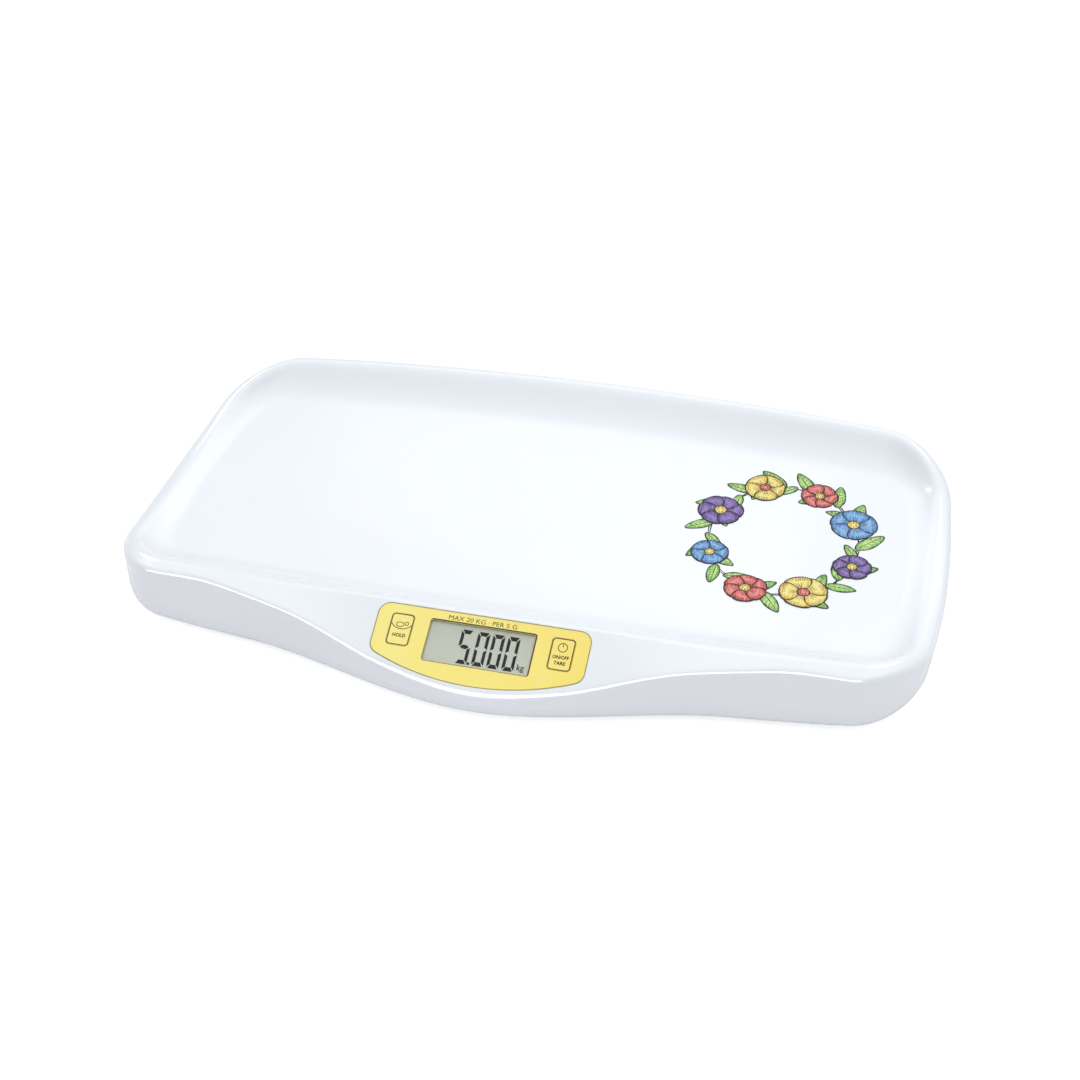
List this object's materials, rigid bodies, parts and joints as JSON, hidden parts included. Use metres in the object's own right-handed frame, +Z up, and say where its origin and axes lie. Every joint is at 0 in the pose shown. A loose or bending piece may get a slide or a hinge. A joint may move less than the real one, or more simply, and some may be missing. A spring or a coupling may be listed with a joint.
{
  "type": "digital baby weighing scale",
  "caption": "Low digital baby scale: white dished tray with a bowed front apron that carries a display panel with two keys, on feet with load cells.",
  "frame": {"origin": "middle of the bounding box on the floor, under the tray", "axes": "+X along the length of the tray, +Y from the display side to the back, +Z up"},
  "size_m": [0.5486, 0.33, 0.0454],
  "materials": {
    "white_plastic": "glossy moulded ABS",
    "door_plastic": "fine texture",
    "panel_print": "printed film, semi-gloss",
    "clear_lens": "clear acrylic",
    "lcd": "grey-green liquid crystal display",
    "dark_plastic": "matte",
    "grey_rubber": "matte",
    "foot_plastic": "satin",
    "switch_stem": "satin",
    "circuit_board": "solder mask",
    "chip_epoxy": "cast epoxy",
    "socket_plastic": "satin",
    "steel": "zinc-plated sheet",
    "gauge_silicone": "cured silicone",
    "contact_metal": "nickel plate",
    "battery_wrap": "printed sleeve",
    "lead_grey": "PVC",
    "lead_black": "PVC",
    "lead_red": "PVC"
  },
  "bodies": {
    "scale": {"tray_cover": "white_plastic", "base_plate": "white_plastic", "display_overlay": "panel_print", "display_lens": "clear_lens", "lcd_glass": "lcd", "lcd_frame": "dark_plastic", "tact_switches": "dark_plastic", "unit_switch": "dark_plastic", "board_components": "dark_plastic", "lcd_connector": "grey_rubber", "foot_pad_1": "grey_rubber", "foot_pad_2": "grey_rubber", "foot_pad_3": "grey_rubber", "foot_pad_4": "grey_rubber", "foot_1": "foot_plastic", "foot_2": "foot_plastic", "foot_3": "foot_plastic", "foot_4": "foot_plastic", "main_board": "circuit_board", "unit_board": "circuit_board", "controller_chip": "chip_epoxy", "lead_sockets": "socket_plastic", "load_cell_1": "steel", "load_cell_2": "steel", "load_cell_3": "steel", "load_cell_4": "steel", "housing_screws": "steel", "board_screws": "steel", "strain_gauges": "gauge_silicone", "battery_springs": "contact_metal", "battery_contacts": "contact_metal", "battery_1": "battery_wrap", "battery_2": "battery_wrap", "battery_3": "battery_wrap", "battery_4": "battery_wrap", "left_front_lead": "lead_grey", "left_back_lead": "lead_grey", "right_front_lead": "lead_grey", "right_back_lead": "lead_grey", "battery_lead_black": "lead_black", "battery_lead_red": "lead_red"},
    "hold_key": {"hold_key": "panel_print", "hold_switch_stem": "switch_stem"},
    "power_key": {"power_key": "panel_print", "power_switch_stem": "switch_stem"},
    "unit_button": {"unit_button": "foot_plastic", "unit_switch_stem": "switch_stem"},
    "battery_door": {"battery_door": "door_plastic"}
  },
  "joints": [
    {"name": "hold_key_press", "type": "slide", "parent": "scale", "child": "hold_key", "axis": [0, 0.4305, -0.9026], "range_m": [0, 0.0005], "stiffness_N_per_m": 3000},
    {"name": "power_key_press", "type": "slide", "parent": "scale", "child": "power_key", "axis": [0, 0.4305, -0.9026], "range_m": [0, 0.0005], "stiffness_N_per_m": 3000},
    {"name": "unit_button_press", "type": "slide", "parent": "scale", "child": "unit_button", "axis": [0, 0, 1], "range_m": [0, 0.001], "stiffness_N_per_m": 1500},
    {"name": "battery_door_slide", "type": "slide", "parent": "scale", "child": "battery_door", "axis": [0, 1, 0], "range_m": [0, 0.01]}
  ]
}
